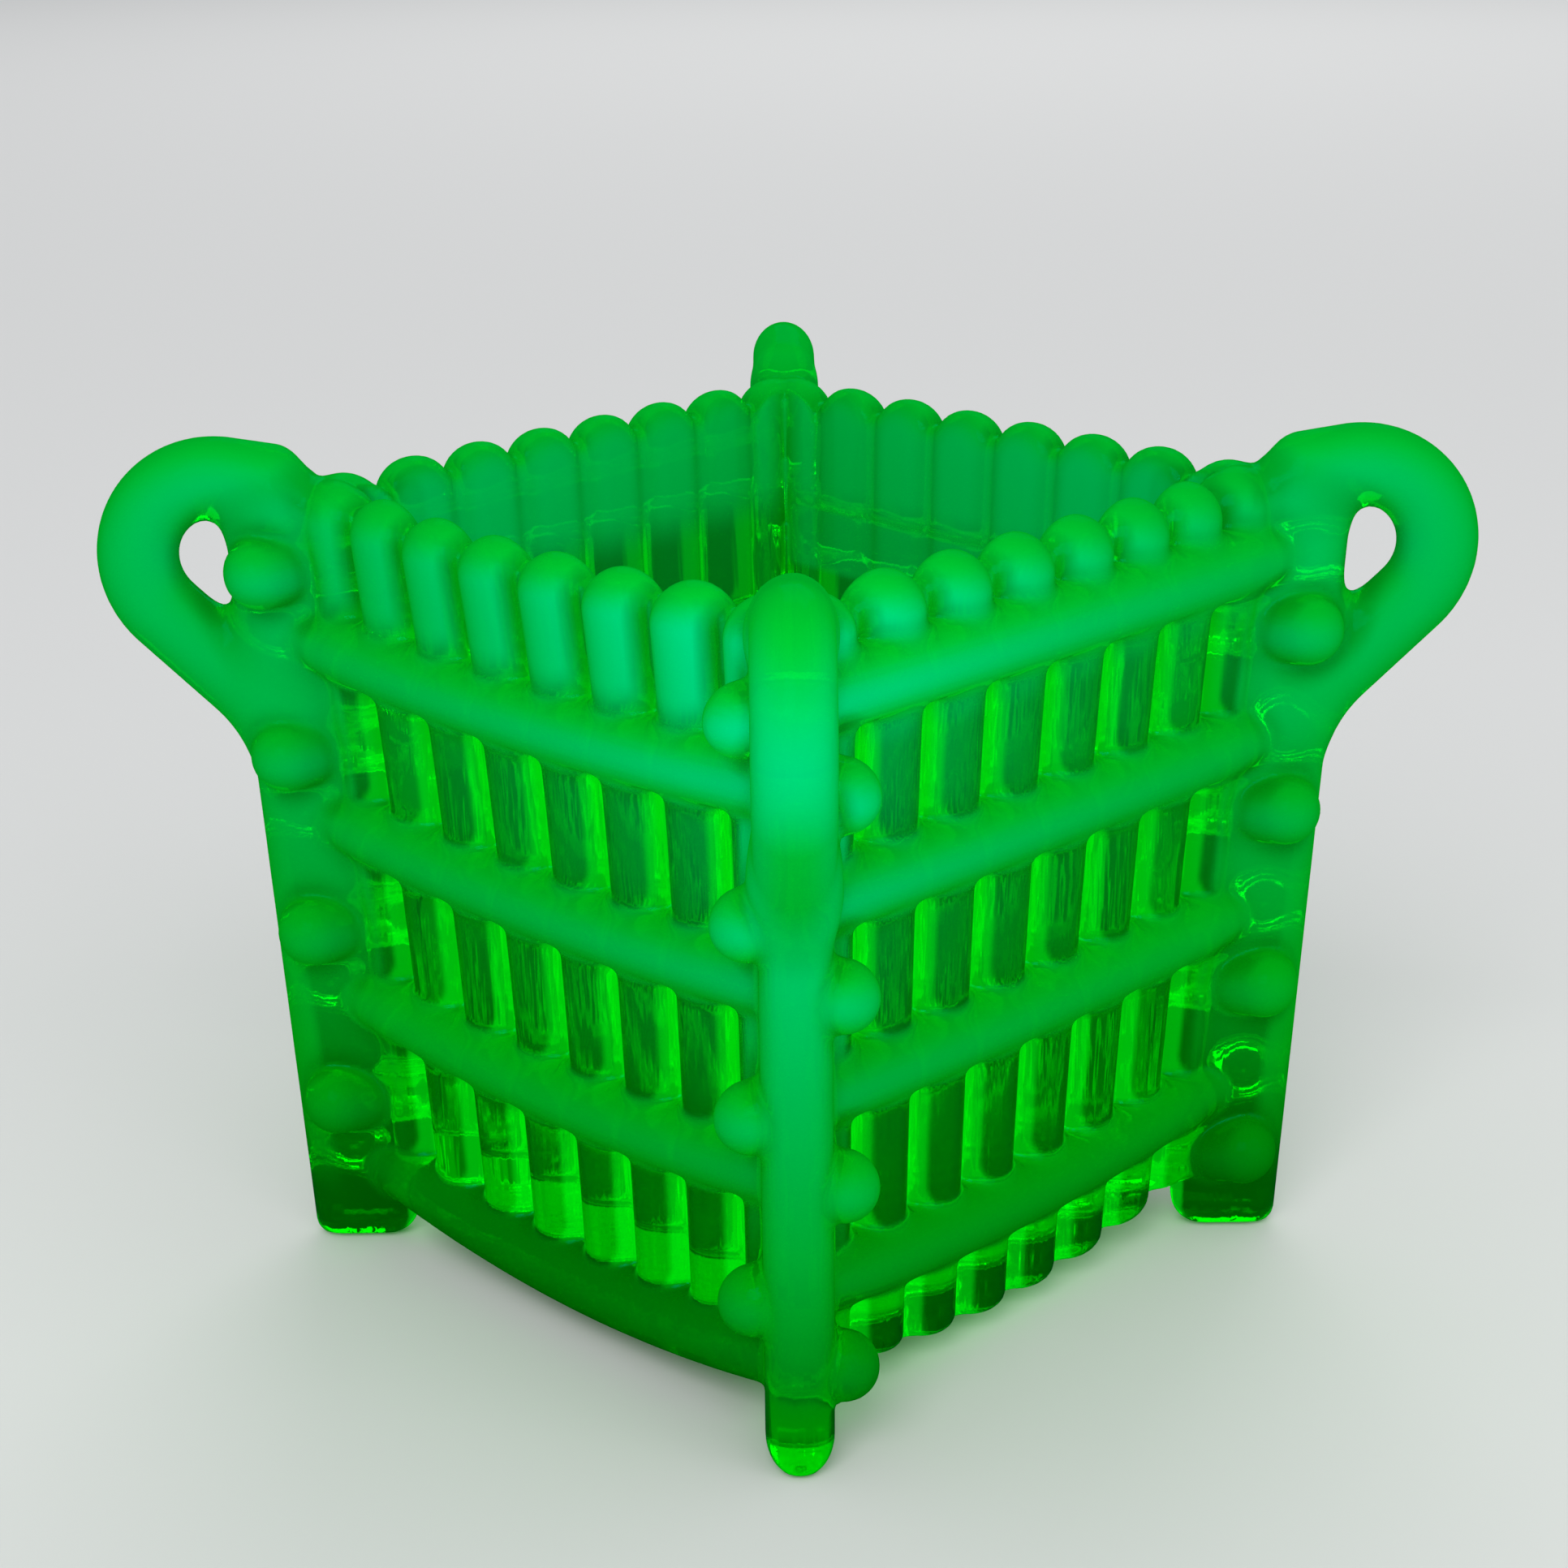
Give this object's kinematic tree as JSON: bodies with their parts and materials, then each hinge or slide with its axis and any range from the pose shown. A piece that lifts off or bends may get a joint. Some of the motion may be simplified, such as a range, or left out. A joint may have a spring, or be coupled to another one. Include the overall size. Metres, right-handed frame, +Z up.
{
  "type": "pressed glass posy basket",
  "caption": "Square flared pressed-glass posy basket with reeded walls, crossing bars that end in balls, corner fins with feet, and ring handles.",
  "frame": {"origin": "centre of the base, on the plane the four feet stand on", "axes": "+Z up out of the mouth, +X through the middle of the right wall, -Y through the middle of the front wall; the handles lie in the two diagonal planes"},
  "size_m": [0.1032, 0.1032, 0.0906],
  "materials": {
    "uranium_glass": "fire-polished pressed glass that fluoresces green under ultraviolet light"
  },
  "bodies": {
    "root": {"floor": "uranium_glass", "front_wall": "uranium_glass", "right_wall": "uranium_glass", "back_wall": "uranium_glass", "left_wall": "uranium_glass", "front_bar_1": "uranium_glass", "front_bar_2": "uranium_glass", "front_bar_3": "uranium_glass", "front_bar_4": "uranium_glass", "right_bar_1": "uranium_glass", "right_bar_2": "uranium_glass", "right_bar_3": "uranium_glass", "right_bar_4": "uranium_glass", "back_bar_1": "uranium_glass", "back_bar_2": "uranium_glass", "back_bar_3": "uranium_glass", "back_bar_4": "uranium_glass", "left_bar_1": "uranium_glass", "left_bar_2": "uranium_glass", "left_bar_3": "uranium_glass", "left_bar_4": "uranium_glass", "front_right_fin": "uranium_glass", "back_right_fin": "uranium_glass", "back_left_fin": "uranium_glass", "front_left_fin": "uranium_glass", "front_right_ring": "uranium_glass", "back_right_ring": "uranium_glass", "back_left_ring": "uranium_glass", "front_left_ring": "uranium_glass"}
  },
  "joints": []
}
